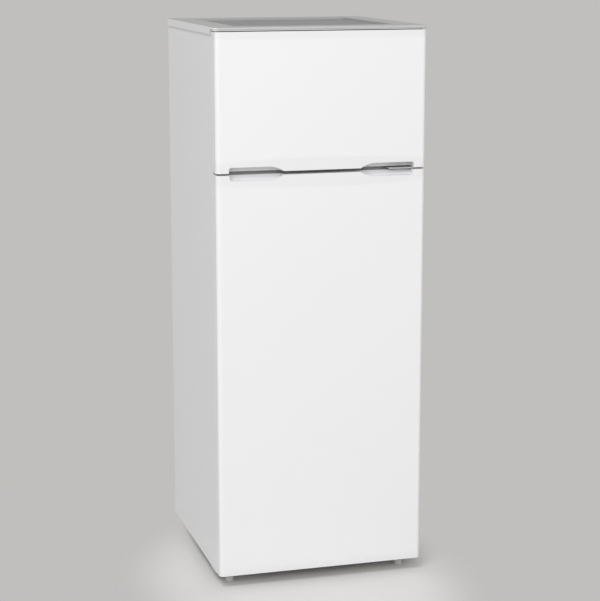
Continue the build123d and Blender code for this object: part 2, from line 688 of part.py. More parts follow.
def top_hinge():
    """Stepped bracket on top of the cabinet, with a pin down into the freezer door."""
    x0 = HINGE_X - TONGUE_W
    riser_y = CABINET_FRONT_Y + SHEET
    arm = hinge_arm(x0, riser_y + TOP_HINGE_T, TOP_ARM_Z, COVER_UNDER_Z)
    riser = span(x0, HALF_INNER, riser_y, riser_y + TOP_HINGE_T, SKIRT_Z, COVER_UNDER_Z)
    pad = span(HALF_INNER - TOP_PAD_W, HALF_INNER, riser_y, riser_y + TOP_PAD_L, SKIRT_Z,
               SKIRT_Z + TOP_HINGE_T)
    pin = upright(PIN_R, HINGE_X, HINGE_Y, DOOR_TOP_Z - BUSH_DEPTH, COVER_UNDER_Z)
    return cut_all(arm + riser + pad + pin, top_screws())


def centre_hinge():
    """Bent bracket on the centre rail, with a pin up and a pin down."""
    face_y = CABINET_FRONT_Y - HINGE_T
    low, high = GAP_Z - HINGE_T / 2, GAP_Z + HINGE_T / 2
    flange = span(CENTRE_FLANGE_X, CENTRE_FLANGE_X + CENTRE_FLANGE_W, face_y, CABINET_FRONT_Y,
                  GAP_Z - CENTRE_FLANGE_H / 2, GAP_Z + CENTRE_FLANGE_H / 2)
    arm = hinge_arm(CENTRE_FLANGE_X, CABINET_FRONT_Y, low, high)
    pins = upright(PIN_R, HINGE_X, HINGE_Y, low - BUSH_DEPTH, high + BUSH_DEPTH)
    return cut_all(flange + arm + pins, centre_screws())


def bottom_hinge():
    """Bent bracket on the bottom rail, with a pin up into the fresh-food door."""
    face_y = CABINET_FRONT_Y - HINGE_T
    flange = span(BOTTOM_FLANGE_X, HALF_INNER, face_y, CABINET_FRONT_Y, BOTTOM_ARM_Z,
                  BOTTOM_ARM_Z + BOTTOM_FLANGE_H)
    arm = hinge_arm(HINGE_X - 2 * TONGUE_W, CABINET_FRONT_Y, BOTTOM_ARM_Z, BOTTOM_ARM_Z + HINGE_T)
    pin = upright(PIN_R, HINGE_X, HINGE_Y, BOTTOM_ARM_Z, BOTTOM_ARM_Z + HINGE_T + BUSH_DEPTH)
    return cut_all(flange + arm + pin, bottom_screws())


def front_screw(x, z):
    """Screw through a bracket on the cabinet's front."""
    seat = CABINET_FRONT_Y - HINGE_T
    head = along_y(SCREW_HEAD_R, x, seat - SCREW_HEAD_H, seat, z)
    return head + along_y(SCREW_R, x, seat, seat + SCREW_L, z)


def centre_screws():
    """Screws of the centre hinge."""
    columns = (CENTRE_FLANGE_X + CENTRE_SCREW_IN, CENTRE_FLANGE_X + CENTRE_FLANGE_W - CENTRE_SCREW_IN)
    rise = CENTRE_FLANGE_H / 2 - CENTRE_SCREW_UP
    return [front_screw(x, z) for x in columns for z in (GAP_Z - rise, GAP_Z + rise)]


def bottom_screws():
    """Screws of the bottom hinge."""
    level = BOTTOM_ARM_Z + (HINGE_T + BOTTOM_FLANGE_H) / 2
    columns = (BOTTOM_FLANGE_X + BOTTOM_SCREW_IN, HALF_OPENING - BOTTOM_SCREW_OUT)
    return [front_screw(x, level) for x in columns]


def top_screws():
    """Screws of the top hinge, down into the cabinet."""
    seat = SKIRT_Z + TOP_HINGE_T
    x = HALF_INNER - TOP_PAD_W / 2
    screws = []
    for y in (CABINET_FRONT_Y + TOP_SCREW_FRONT, CABINET_FRONT_Y + TOP_PAD_L - TOP_SCREW_BACK):
        head = upright(SCREW_HEAD_R, x, y, seat, seat + SCREW_HEAD_H)
        screws.append(head + upright(SCREW_R, x, y, seat - SCREW_L, seat))
    return screws


def cut_all(shape, tools):
    """A shape with each of some others cut from it."""
    for tool in tools:
        shape -= tool
    return shape


# ---------------------------------------------------------------- feet and rollers
def foot_bracket(side):
    """Plate under a front corner that a foot screws into."""
    y = CABINET_FRONT_Y + FOOT_SET_BACK
    plate = span(side * (HALF_CABINET - FOOT_BRACKET_L), side * HALF_CABINET, CABINET_FRONT_Y,
                 CABINET_FRONT_Y + FOOT_BRACKET_L, CABINET_BOTTOM_Z - FOOT_PLATE_DROP, CABINET_BOTTOM_Z)
    return plate - upright(FOOT_STEM_R + FOOT_CLEAR, side * FOOT_X, y, 0, CABINET_BOTTOM_Z + 1)


def levelling_foot(side):
    """Screw foot with a knurled pad."""
    y = CABINET_FRONT_Y + FOOT_SET_BACK
    pad = fillet(Cylinder(FOOT_R, FOOT_H).edges(), FOOT_EDGE_R)
    for step in range(FOOT_FLUTES):
        turned = Rot(0, 0, step * 360 / FOOT_FLUTES)
        pad -= turned * Pos(FOOT_R + FOOT_FLUTE_OUT, 0, 0) * Cylinder(FOOT_FLUTE_R, FOOT_H)
    return Pos(side * FOOT_X, y, FOOT_H / 2) * pad + upright(
        FOOT_STEM_R, side * FOOT_X, y, FOOT_H / 2, CABINET_BOTTOM_Z - FOOT_CLEAR)


def roller_bracket(side):
    """Channel with an axle, under the compressor plate."""
    x = side * ROLLER_X
    half = ROLLER_W / 2 + CHEEK_GAP
    top = CABINET_BOTTOM_Z
    body = span(x - half - CHEEK_T, x + half + CHEEK_T, ROLLER_Y - BRACKET_L / 2, ROLLER_Y + BRACKET_L / 2,
                top - CHEEK_T, top)
    for edge in (-1, 1):
        cheek = span(x + edge * half, x + edge * (half + CHEEK_T), ROLLER_Y - BRACKET_L / 3,
                     ROLLER_Y + BRACKET_L / 3, ROLLER_R - 2 * AXLE_R, top - CHEEK_T / 2)
        body += cheek
    return body + along_x(AXLE_R, x - half - CHEEK_T, x + half + CHEEK_T, ROLLER_Y, ROLLER_R)


def rear_roller(side):
    """Roller that turns on its axle."""
    x = side * ROLLER_X
    wheel = along_x(ROLLER_R, x - ROLLER_W / 2, x + ROLLER_W / 2, ROLLER_Y, ROLLER_R)
    wheel = fillet(wheel.edges(), ROLLER_EDGE_R)
    return wheel - along_x(AXLE_R + AXLE_CLEAR, x - ROLLER_W, x + ROLLER_W, ROLLER_Y, ROLLER_R)


# ---------------------------------------------------------------- machine compartment
def compressor_plate():
    """Tray across the bottom of the machine compartment."""
    front = MACHINE_FRONT_Y
    tray = span(-HALF_INNER, HALF_INNER, front, CABINET_BACK_Y, CABINET_BOTTOM_Z, PLATE_TOP_Z)
    for y in (front, CABINET_BACK_Y - PLATE_T):
        tray += span(-HALF_INNER, HALF_INNER, y, y + PLATE_T, PLATE_TOP_Z, PLATE_TOP_Z + PLATE_LIP_H)
    return tray - along_y(GLAND_R, GLAND_X, CABINET_BACK_Y - GLAND_L, BACK_Y, gland_z())


def gland_z():
    """Level of the cord gland in the plate's rear lip."""
    return PLATE_TOP_Z + PLATE_LIP_H / 2 + GLAND_RISE


def cord_gland():
    """Rubber ring in the plate's rear lip, where the supply enters."""
    inner_y = CABINET_BACK_Y - PLATE_T
    ring = along_y(GLAND_R, GLAND_X, inner_y - GLAND_L / 2, CABINET_BACK_Y, gland_z())
    ring += along_y(GLAND_FLANGE_R, GLAND_X, inner_y - GLAND_FLANGE_T, inner_y, gland_z())
    ring += along_y(GLAND_FLANGE_R, GLAND_X, CABINET_BACK_Y, CABINET_BACK_Y + GLAND_FLANGE_T, gland_z())
    return ring - along_y(GLAND_R / 2, GLAND_X, inner_y - GLAND_L, BACK_Y, gland_z())


def grommet_places():
    """Centres of the four rubber feet of the compressor."""
    return [(COMPRESSOR_X + i * GROMMET_PITCH_X / 2, COMPRESSOR_Y + j * GROMMET_PITCH_Y / 2)
            for i in (-1, 1) for j in (-1, 1)]


def grommet(x, y):
    """Waisted rubber foot."""
    foot = upright(GROMMET_R, x, y, PLATE_TOP_Z, COMPRESSOR_FOOT_Z)
    middle = (PLATE_TOP_Z + COMPRESSOR_FOOT_Z) / 2
    return foot - Pos(x, y, middle) * Torus(GROMMET_R + WAIST_OUT, WAIST_R)


def compressor_block(inset, low, high, flat):
    """A block round the compressor's middle, rounded in plan, moved in by an amount."""
    half_l = COMPRESSOR_LEN / 2 - inset
    half_w = COMPRESSOR_W / 2 - inset
    return rounded_span(COMPRESSOR_X - half_l, COMPRESSOR_X + half_l, COMPRESSOR_Y - half_w,
                        COMPRESSOR_Y + half_w, low, high, half_w - flat)


def compressor():
    """Sealed shell on its foot plate."""
    pod = compressor_block(0, COMPRESSOR_Z, COMPRESSOR_TOP_Z, COMPRESSOR_FLAT)
    pod = fillet(pod.faces().sort_by(Axis.Z)[-1].edges(), COMPRESSOR_R)
    room = compressor_block(COMPRESSOR_WALL, COMPRESSOR_Z + COMPRESSOR_WALL,
                            COMPRESSOR_TOP_Z - COMPRESSOR_WALL, COMPRESSOR_FLAT)
    room = fillet(room.faces().sort_by(Axis.Z)[-1].edges(), COMPRESSOR_R - COMPRESSOR_WALL)
    belt_z = COMPRESSOR_Z + BELT_LEVEL
    belt = compressor_block(-BELT_OUT, belt_z, belt_z + BELT_H, BELT_OUT)
    foot = rounded_span(COMPRESSOR_X - FOOT_PLATE_L / 2, COMPRESSOR_X + FOOT_PLATE_L / 2,
                        COMPRESSOR_Y - FOOT_PLATE_W / 2, COMPRESSOR_Y + FOOT_PLATE_W / 2,
                        COMPRESSOR_FOOT_Z, COMPRESSOR_Z, FOOT_PLATE_R)
    return one_solid(pod - room + (belt - pod) + foot)


def relay_cover():
    """Moulded box on the left end of the compressor."""
    x1 = COMPRESSOR_X - COMPRESSOR_LEN / 2
    low = COMPRESSOR_Z + RELAY_RISE
    box = rounded_span(x1 - RELAY_L / 2, x1 + RELAY_L / 2, COMPRESSOR_Y - RELAY_W / 2,
                       COMPRESSOR_Y + RELAY_W / 2, low, low + RELAY_H, RELAY_R)
    box = fillet(box.faces().sort_by(Axis.Z)[-1].edges(), RELAY_EDGE_R)
    return one_solid(box - compressor_block(0, 0, HEIGHT, COMPRESSOR_FLAT))


def drip_tray():
    """Open tray on top of the compressor."""
    half_l, half_w = TRAY_L / 2, TRAY_W / 2
    x, y, z = DRAIN_X + TRAY_L / 6, COMPRESSOR_Y, COMPRESSOR_TOP_Z
    tray = rounded_span(x - half_l, x + half_l, y - half_w, y + half_w, z, z + TRAY_H, TRAY_R)
    return tray - rounded_span(x - half_l + TRAY_T, x + half_l - TRAY_T, y - half_w + TRAY_T,
                               y + half_w - TRAY_T, z + TRAY_T, z + TRAY_H + 1, TRAY_R - TRAY_T)


def filter_drier():
    """Copper drier under the condenser's outlet."""
    x, y = coil_x(0), COIL_Y - DRIER_R + COIL_R
    low = DRIER_TOP_Z - DRIER_H
    return fillet(upright(DRIER_R, x, y, low, DRIER_TOP_Z).edges(), DRIER_R / 2)


def copper_pipes():
    """Discharge, suction, drier inlet and capillary pipes."""
    end_x = COMPRESSOR_X + COMPRESSOR_LEN / 2
    port_z = COMPRESSOR_Z + COMPRESSOR_H / 3
    y = COMPRESSOR_Y
    inlet_x = coil_x(COIL_RUNS - 1)
    discharge = pipe([(end_x, y, port_z), (inlet_x, y, port_z), (inlet_x, COIL_Y, port_z),
                      (inlet_x, COIL_Y, COIL_DROP_Z)], COIL_R, DISCHARGE_BEND)
    suction_y = y - COMPRESSOR_W / 4
    suction_x = end_x + SUCTION_OUT
    suction_z = port_z + SUCTION_RISE
    suction = pipe([(COMPRESSOR_X, suction_y, suction_z), (suction_x, suction_y, suction_z),
                    (suction_x, suction_y, MACHINE_TOP_Z)], SUCTION_R, SUCTION_BEND)
    drier_x = coil_x(0)
    inlet = upright(COIL_R, drier_x, COIL_Y, DRIER_TOP_Z - DRIER_R / 4, COIL_DROP_Z)
    drier_y = COIL_Y - DRIER_R + COIL_R
    start_z = DRIER_TOP_Z - DRIER_H
    low = start_z - CAPILLARY_DROP
    capillary = pipe([(drier_x, drier_y, start_z), (drier_x, drier_y, low),
                      (drier_x + CAPILLARY_OUT, drier_y, low),
                      (drier_x + CAPILLARY_OUT, drier_y, MACHINE_TOP_Z)], CAPILLARY_R, CAPILLARY_BEND)
    shell = compressor_block(0, COMPRESSOR_Z, COMPRESSOR_TOP_Z, COMPRESSOR_FLAT)
    return group(discharge - shell, suction - shell, inlet - filter_drier(), capillary)


# ---------------------------------------------------------------- inside fittings
def glass_shelf(level):
    """Glass plate on its ribs."""
    return rounded_span(-HALF_SHELF, HALF_SHELF, SHELF_FRONT_Y, FRIDGE_BACK_Y - SHELF_CLEAR,
                        level, level + SHELF_T, SHELF_R)


def crisper_lid():
    """Glass lid over the drawer."""
    return rounded_span(-HALF_SHELF, HALF_SHELF, SHELF_FRONT_Y, STEP_FRONT_Y - SHELF_CLEAR,
                        LID_Z, LID_Z + SHELF_T, SHELF_R)


def tapered_box(half, y0, y1, low, high, taper, radius):
    """A block, narrower at the bottom."""
    upper = Pos(0, (y0 + y1) / 2, high) * RectangleRounded(2 * half, y1 - y0, radius)
    lower = Pos(0, (y0 + y1) / 2, low) * RectangleRounded(2 * (half - taper), y1 - y0 - taper, radius)
    return loft([lower, upper])


def crisper_drawer():
    """Open drawer with a lip to pull."""
    half = HALF_CAVITY - CRISPER_CLEAR - RIB_W
    y0, y1 = CABINET_FRONT_Y + CRISPER_SET, STEP_FRONT_Y - CRISPER_CLEAR
    low, high = FRIDGE_FLOOR_Z, FRIDGE_FLOOR_Z + CRISPER_H
    body = tapered_box(half, y0, y1, low, high, CRISPER_TAPER, CRISPER_R)
    room = tapered_box(half - CRISPER_T, y0 + CRISPER_T, y1 - CRISPER_T, low + CRISPER_T, high + TOUCH,
                       CRISPER_TAPER, CRISPER_R - CRISPER_T)
    lip_y = y0 - CRISPER_LIP
    lip = rounded_span(-half, half, lip_y, y0 + CRISPER_T, high - CRISPER_T, high, CRISPER_LIP_R, Axis.X)
    grip = span(-half, half, lip_y, lip_y + CRISPER_T, high - CRISPER_GRIP_H, high)
    return one_solid(body - room + lip + grip)


def wire_shelf():
    """Welded wire shelf on its ribs."""
    z = WIRE_SHELF_Z + WIRE_FRAME_R
    front, back = SHELF_FRONT_Y, FREEZER_BACK_Y - SHELF_CLEAR - WIRE_FRAME_R
    half = HALF_SHELF - WIRE_FRAME_R
    shelf = along_x(WIRE_FRAME_R, -half, half, front, z) + along_x(WIRE_FRAME_R, -half, half, back, z)
    shelf += along_x(WIRE_FRAME_R, -half, half, (front + back) / 2, z)
    for side in (-1, 1):
        shelf += along_y(WIRE_FRAME_R, side * half, front, back, z)
        for y in (front, back):
            shelf += Pos(side * half, y, z) * Sphere(WIRE_FRAME_R)
    count = int(2 * half // WIRE_PITCH)
    start = -WIRE_PITCH * (count - 1) / 2
    for wire in range(count):
        shelf += along_y(WIRE_R, start + wire * WIRE_PITCH, front, back, z + WIRE_FRAME_R - WIRE_R / 2)
    return one_solid(shelf)


def lamp_housing():
    """Moulded box on the right wall for thermostat, lamp and switch."""
    y0, y1 = HOUSING_FRONT_Y, HOUSING_FRONT_Y + HOUSING_L
    high = HOUSING_LOW_Z + HOUSING_H
    box = span(HOUSING_INNER_X, HALF_CAVITY, y0, y1, HOUSING_LOW_Z, high)
    box = fillet(box.faces().sort_by(Axis.X)[0].edges(), HOUSING_R)
    box -= span(HOUSING_INNER_X + HOUSING_WALL, HALF_CAVITY + 1, y0 + HOUSING_WALL, y1 - HOUSING_WALL,
                HOUSING_LOW_Z + HOUSING_WALL, high - HOUSING_WALL)
    box -= along_x(SHAFT_R + PIN_CLEAR, HOUSING_INNER_X - 1, HOUSING_INNER_X + HOUSING_T / 2,
                   y0 + KNOB_SET, HOUSING_Z)
    box -= span(HOUSING_INNER_X - 1, HOUSING_INNER_X + HOUSING_T / 2, y0 + LAMP_SET - LAMP_HOLE_L / 2,
                y0 + LAMP_SET + LAMP_HOLE_L / 2, HOUSING_Z - LAMP_HOLE_H / 2, HOUSING_Z + LAMP_HOLE_H / 2)
    guide = span(PLUNGER_X - 2 * PLUNGER_R, HALF_CAVITY, y0 + HOUSING_WALL / 2, y0 + GUIDE_L,
                 HOUSING_Z - 2 * PLUNGER_R, HOUSING_Z + 2 * PLUNGER_R)
    bore = along_y(PLUNGER_R + PIN_CLEAR, PLUNGER_X, y0 - 1, y0 + GUIDE_L + 1, HOUSING_Z)
    return one_solid(box + guide - bore)


def thermostat():
    """Thermostat body behind the housing's wall."""
    x0 = HOUSING_INNER_X + HOUSING_WALL
    y = HOUSING_FRONT_Y + KNOB_SET
    body = rounded_span(x0, x0 + THERMOSTAT_T, y - THERMOSTAT_L / 2, y + THERMOSTAT_L / 2,
                        HOUSING_Z - THERMOSTAT_H / 2, HOUSING_Z + THERMOSTAT_H / 2, THERMOSTAT_R, Axis.X)
    return body - along_x(SHAFT_R + PIN_CLEAR, x0 - 1, x0 + SHAFT_L, y, HOUSING_Z)


def thermostat_knob():
    """Fluted knob with its shaft."""
    y = HOUSING_FRONT_Y + KNOB_SET
    x1 = HOUSING_INNER_X - KNOB_GAP
    knob = along_x(KNOB_R, x1 - KNOB_H, x1, y, HOUSING_Z)
    knob = fillet(knob.edges().group_by(Axis.X)[0], KNOB_EDGE_R)
    for step in range(KNOB_FLUTES):
        turned = Pos(x1 - KNOB_H, y, HOUSING_Z) * Rot(step * 360 / KNOB_FLUTES, 0, 0)
        knob -= turned * Pos(0, 0, KNOB_R + KNOB_FLUTE_OUT) * Rot(0, 90, 0) * Cylinder(KNOB_FLUTE_R, KNOB_H)
    return knob + along_x(SHAFT_R, x1 - KNOB_H / 2, HOUSING_INNER_X + HOUSING_WALL + SHAFT_L / 2, y,
                          HOUSING_Z)


def lamp_lens():
    """Clear cover of the lamp, held in the housing's opening."""
    y = HOUSING_FRONT_Y + LAMP_SET
    x0, x1 = HOUSING_INNER_X - LENS_DEPTH, HOUSING_INNER_X + HOUSING_WALL
    half_l, half_h = LAMP_HOLE_L / 2, LAMP_HOLE_H / 2
    lens = span(x0, x1, y - half_l, y + half_l, HOUSING_Z - half_h, HOUSING_Z + half_h)
    lens = fillet(lens.faces().sort_by(Axis.X)[0].edges(), LENS_R)
    return lens - span(x0 + LENS_T, x1 + 1, y - half_l + LENS_T, y + half_l - LENS_T,
                       HOUSING_Z - half_h + LENS_T, HOUSING_Z + half_h - LENS_T)


def lamp_bulb():
    """Small lamp and its holder, lying along the housing."""
    x = HALF_CAVITY - HOLDER_R
    y = HOUSING_FRONT_Y + LAMP_SET - LAMP_HOLE_L / 2 + HOLDER_L
    holder = along_y(HOLDER_R, x, y - HOLDER_L, y, HOUSING_Z)
    neck = along_y(BULB_NECK_R, x - BULB_OFF, y, y + BULB_NECK_L, HOUSING_Z)
    return holder + neck + Pos(x - BULB_OFF, y + BULB_NECK_L, HOUSING_Z) * Sphere(BULB_R)


def switch_plunger():
    """Plunger that the closed door presses."""
    tip = RIDGE_BACK_Y + PLUNGER_TIP
    stem_end = HOUSING_FRONT_Y + GUIDE_L - PLUNGER_TRAVEL
    stem = along_y(PLUNGER_R, PLUNGER_X, tip, stem_end, HOUSING_Z)
    return fillet(stem.edges().group_by(Axis.Y)[0], PLUNGER_EDGE_R)


# ---------------------------------------------------------------- doors
def door_prism(inset, low, high):
    """The outline of a door between two levels, moved in by an amount."""
    half = HALF_DOOR - inset
    block = span(-half, half, FRONT_Y + inset, DOOR_BACK_Y - LINER_T - inset, low, high)
    return fillet(block.edges().filter_by(Axis.Z).group_by(Axis.Y)[0], DOOR_EDGE_R - inset)


def seam_mask(sign):
    """Everything between the gap's level and the bowed seam, above (+1) or below (-1) the gap."""
    seam = GAP_Z + sign * (GAP_END / 2 + SEAM_END)
    radius = (HALF_DOOR ** 2 + SEAM_BOW ** 2) / (2 * SEAM_BOW)
    half = HALF_DOOR + DOOR_EDGE_R
    end = seam + sign * (SEAM_BOW - radius + math.sqrt(radius ** 2 - half ** 2))
    arc = ThreePointArc((-half, end), (0, seam + sign * SEAM_BOW), (half, end))
    rest = Polyline((half, end), (half, GAP_Z), (-half, GAP_Z), (-half, end))
    return extrude(Plane.XZ * make_face(arc + rest), amount=DEPTH, both=True)


def pocket_cut(side, sign, out_x, rise, grow=0.0):
    """Finger pocket above (+1) or scoop below (-1) the gap, on one side."""
    level = GAP_Z + sign * (rise + grow)
    edge = GAP_Z + sign * GAP_MID / 2
    out, flat, inner = side * (out_x + grow), side * (POCKET_FLAT_X - grow), side * (POCKET_IN_X - grow)
    curve = TangentArc((flat, level), (inner, edge), tangent=(-side, 0))
    rest = Polyline((inner, edge), (inner, GAP_Z), (out, GAP_Z), (out, level), (flat, level))
    face = make_face(curve + rest)
    corner = face.vertices().sort_by_distance((out, level, 0))[0]
    outline = extrude(Plane.XZ * fillet(corner, POCKET_CORNER_R), amount=DEPTH, both=True)
    back = FRONT_Y + POCKET_DEPTH + grow
    front = FRONT_Y - DOOR_EDGE_R
    if sign > 0:
        bend = TangentArc((back - POCKET_CORNER_R, level), (back, level - POCKET_CORNER_R), tangent=(1, 0))
        sides = Polyline((back, level - POCKET_CORNER_R), (back, GAP_Z), (front, GAP_Z), (front, level),
                         (back - POCKET_CORNER_R, level))
    else:
        bend = TangentArc((FRONT_Y, level), (back, GAP_Z - GAP_END / 2 - grow), tangent=(1, 0))
        sides = Polyline((back, GAP_Z - GAP_END / 2 - grow), (back, GAP_Z), (front, GAP_Z), (front, level),
                         (FRONT_Y, level))
    return outline & extrude(Plane.YZ * make_face(bend + sides), amount=CABINET_W, both=True)


def pocket_cap(sign):
    """Moulded cap beside the gap: bottom of the freezer door (+1) or top of the fresh-food door (-1)."""
    rise, out_x = (POCKET_RISE, POCKET_OUT_X) if sign > 0 else (SCOOP_DROP, SCOOP_OUT_X)
    edge = GAP_Z + sign * GAP_END / 2
    inner = GAP_Z + sign * (GAP_MID / 2 + CAP_WALL)
    far = GAP_Z + sign * (GAP_END / 2 + SEAM_END + SEAM_BOW + 1)
    mask = seam_mask(sign)
    room = door_prism(CAP_WALL, *sorted((inner, far)))
    for side in (-1, 1):
        room -= pocket_cut(side, sign, out_x, rise, CAP_WALL)
    room -= upright(BUSH_R + BOSS_WALL, HINGE_X, HINGE_Y, edge, edge + sign * (BUSH_DEPTH + BOSS_WALL))
    cap = (door_prism(0, *sorted((edge, far))) & mask) - room
    cap -= span(-POCKET_OUT_X, POCKET_OUT_X, FRONT_Y - 1, DOOR_BACK_Y, GAP_Z, GAP_Z + sign * GAP_MID / 2)
    for side in (-1, 1):
        cap -= pocket_cut(side, sign, out_x, rise)
    return one_solid(cap - upright(BUSH_R, HINGE_X, HINGE_Y, edge, edge + sign * BUSH_DEPTH))


def plain_cap(edge, sign, height):
    """Moulded cap at the top (-1) or bottom (+1) edge of a door."""
    far = edge + sign * height
    room = door_prism(CAP_WALL, *sorted((edge + sign * CAP_WALL, far + sign)))
    room -= upright(BUSH_R + BOSS_WALL, HINGE_X, HINGE_Y, edge, edge + sign * (BUSH_DEPTH + BOSS_WALL))
    cap = door_prism(0, *sorted((edge, far))) - room
    return one_solid(cap - upright(BUSH_R, HINGE_X, HINGE_Y, edge, edge + sign * BUSH_DEPTH))


def door_skin(low, high, seam_sign, plain_low, plain_high):
    """Folded steel skin between the two caps."""
    skin = door_prism(0, low, high) - door_prism(SHEET, low - 1, high + 1)
    back = DOOR_BACK_Y - LINER_T
    opening = HALF_DOOR - LINER_FLANGE
    skin -= span(-opening, opening, back - 2 * SHEET, back, low - 1, high + 1)
    skin -= span(-HALF_DOOR, HALF_DOOR, FRONT_Y, DOOR_BACK_Y, plain_low, plain_high)
    return skin - seam_mask(seam_sign)


def ridge(cavity_low, cavity_high, inset=0.0):
    """Raised rim of a door liner, moved in by an amount."""
    low, high = cavity_low + RIDGE_CLEAR + inset, cavity_high - RIDGE_CLEAR - inset
    outer = rounded_span(-RIDGE_OUT_X + inset, RIDGE_OUT_X - inset, DOOR_BACK_Y - LINER_T,
                         RIDGE_BACK_Y - inset, low, high, RIM_R - inset, Axis.Y)
    width = RIDGE_W - 2 * inset
    inner = span(-RIDGE_OUT_X + inset + width, RIDGE_OUT_X - inset - width, DOOR_BACK_Y - LINER_T - 1, BACK_Y,
                 low + width, high - width)
    return outer - inner


def door_liner(low, high, cavity_low, cavity_high):
    """Vacuum-formed inner sheet of a door, with its rim."""
    half = HALF_DOOR - LINER_INSET
    sheet = span(-half, half, DOOR_BACK_Y - LINER_T, DOOR_BACK_Y, low + LINER_INSET, high - LINER_INSET)
    return sheet + ridge(cavity_low, cavity_high) - ridge(cavity_low, cavity_high, LINER_T)


def door_foam(low, high, cavity_low, cavity_high, others):
    """Rigid foam inside a door."""
    core = door_prism(SHEET, low + CAP_WALL, high - CAP_WALL)
    back = DOOR_BACK_Y - LINER_T
    opening = HALF_DOOR - LINER_FLANGE
    core += span(-opening, opening, back - SHEET, back, low + TOP_CAP_H, high - TOP_CAP_H)
    core += ridge(cavity_low, cavity_high, LINER_T)
    return one_solid(cut_all(core, others))


def door_gasket(low, high):
    """Soft magnetic seal around the back of a door."""
    half = HALF_DOOR - GASKET_INSET_X
    z0, z1 = low + GASKET_INSET_Z, high - GASKET_INSET_Z
    outer = rounded_span(-half, half, DOOR_BACK_Y, CABINET_FRONT_Y, z0, z1, GASKET_R, Axis.Y)
    inner = span(-half + GASKET_W, half - GASKET_W, FRONT_Y, BACK_Y, z0 + GASKET_W, z1 - GASKET_W)
    groove_y = DOOR_BACK_Y + GROOVE_FROM
    inside = half - GROOVE_DEPTH
    waist = rounded_span(-inside, inside, groove_y, groove_y + GROOVE_W, z0 + GROOVE_DEPTH, z1 - GROOVE_DEPTH,
                         GASKET_R - 1, Axis.Y)
    groove = span(-HALF_DOOR, HALF_DOOR, groove_y, groove_y + GROOVE_W, z0 - 1, z1 + 1) - waist
    return one_solid(outer - inner - groove)


def bush(edge, sign, flanged):
    """Nylon bush for a hinge pin."""
    body = upright(BUSH_R, HINGE_X, HINGE_Y, edge, edge + sign * BUSH_DEPTH)
    if flanged:
        body += upright(BUSH_FLANGE_R, HINGE_X, HINGE_Y, edge - sign * BUSH_FLANGE_T, edge)
    return body - upright(PIN_R + PIN_CLEAR, HINGE_X, HINGE_Y, edge - 2 * BUSH_DEPTH, edge + 2 * BUSH_DEPTH)


def bin_prism(half, y0, y1, low, high, radius):
    """A block along X whose lower front edge is rounded."""
    outline = Polyline((y0, low), (y0, high), (y1, high), (y1, low), (y0, low))
    face = make_face(outline)
    corner = face.vertices().sort_by_distance((y1, low, 0))[0]
    return extrude(Plane.YZ * fillet(corner, radius), amount=half, both=True)


def door_bin(level, depth, height):
    """Open moulded bin between the rims of a door liner."""
    y0, y1 = DOOR_BACK_Y, DOOR_BACK_Y + depth
    block = bin_prism(RIDGE_IN_X, y0, y1, level, level + height, BIN_R)
    return block - bin_prism(RIDGE_IN_X - BIN_T, y0 + BIN_T, y1 - BIN_T, level + BIN_T, level + height + 1,
                             BIN_R - BIN_T)


# ---------------------------------------------------------------- the whole refrigerator
def build_cabinet():
    """Everything fixed to the cabinet."""
    screws = top_screws() + centre_screws() + bottom_screws()
    rails = [cut_all(front_rail(RAIL_LOW_Z, RAIL_HIGH_Z), screws),
             cut_all(front_rail(CABINET_BOTTOM_Z, BOTTOM_RAIL_TOP_Z), screws)]
    liners = [freezer_liner(), fridge_liner()]
    right = cut_all(side_panel(1), screws)
    save(side_panel(-1), "side_panel_left")
    save(right, "side_panel_right")
    save(rear_panel(), "rear_panel")
    save(rails[0], "centre_rail")
    save(rails[1], "bottom_rail")
    save(base_plate(), "base_plate")
    save(one_solid(liners[0]), "freezer_liner")
    save(one_solid(liners[1]), "fridge_liner")
    save(cabinet_foam(rails + screws + liners + [side_panel(-1), side_panel(1), base_plate()]),
         "cabinet_foam")
    save(freezer_evaporator(), "freezer_evaporator")
    save(fridge_evaporator(), "fridge_evaporator")
    save(condenser_coil(), "condenser_coil")
    save(drain_hose(), "drain_hose")
    save(top_cover(), "top_cover")
    save(cover_front_trim(), "cover_front_trim")
    save(top_panel(), "top_panel")
    save(top_hinge(), "top_hinge")
    save(centre_hinge(), "centre_hinge")
    save(bottom_hinge(), "bottom_hinge")
    save(group(*screws), "hinge_screws")
    save(group(foot_bracket(-1), foot_bracket(1)), "foot_brackets")
    save(group(roller_bracket(-1), roller_bracket(1)), "roller_brackets")
    save(compressor_plate(), "compressor_plate")
    save(group(*[grommet(x, y) for x, y in grommet_places()]), "compressor_grommets")
    save(compressor(), "compressor")
    save(relay_cover(), "relay_cover")
    save(drip_tray(), "drip_tray")
    save(filter_drier(), "filter_drier")
    save(copper_pipes(), "copper_pipes")
    save(cord_gland(), "cord_gland")
    save(group(*[glass_shelf(level) for level in SHELF_LEVELS]), "glass_shelves")
    save(crisper_lid(), "crisper_lid")
    save(wire_shelf(), "wire_shelf")
    save(lamp_housing(), "lamp_housing")
    save(thermostat(), "thermostat")
    save(lamp_lens(), "lamp_lens")
    save(lamp_bulb(), "lamp_bulb")


def build_movers():
    """Small pieces that move by themselves."""
    save(thermostat_knob(), "thermostat_knob")
    save(switch_plunger(), "switch_plunger")
    save(crisper_drawer(), "crisper_drawer")
    for side, name in ((-1, "left"), (1, "right")):
        save(levelling_foot(side), f"foot_{name}")
        save(rear_roller(side), f"roller_{name}")


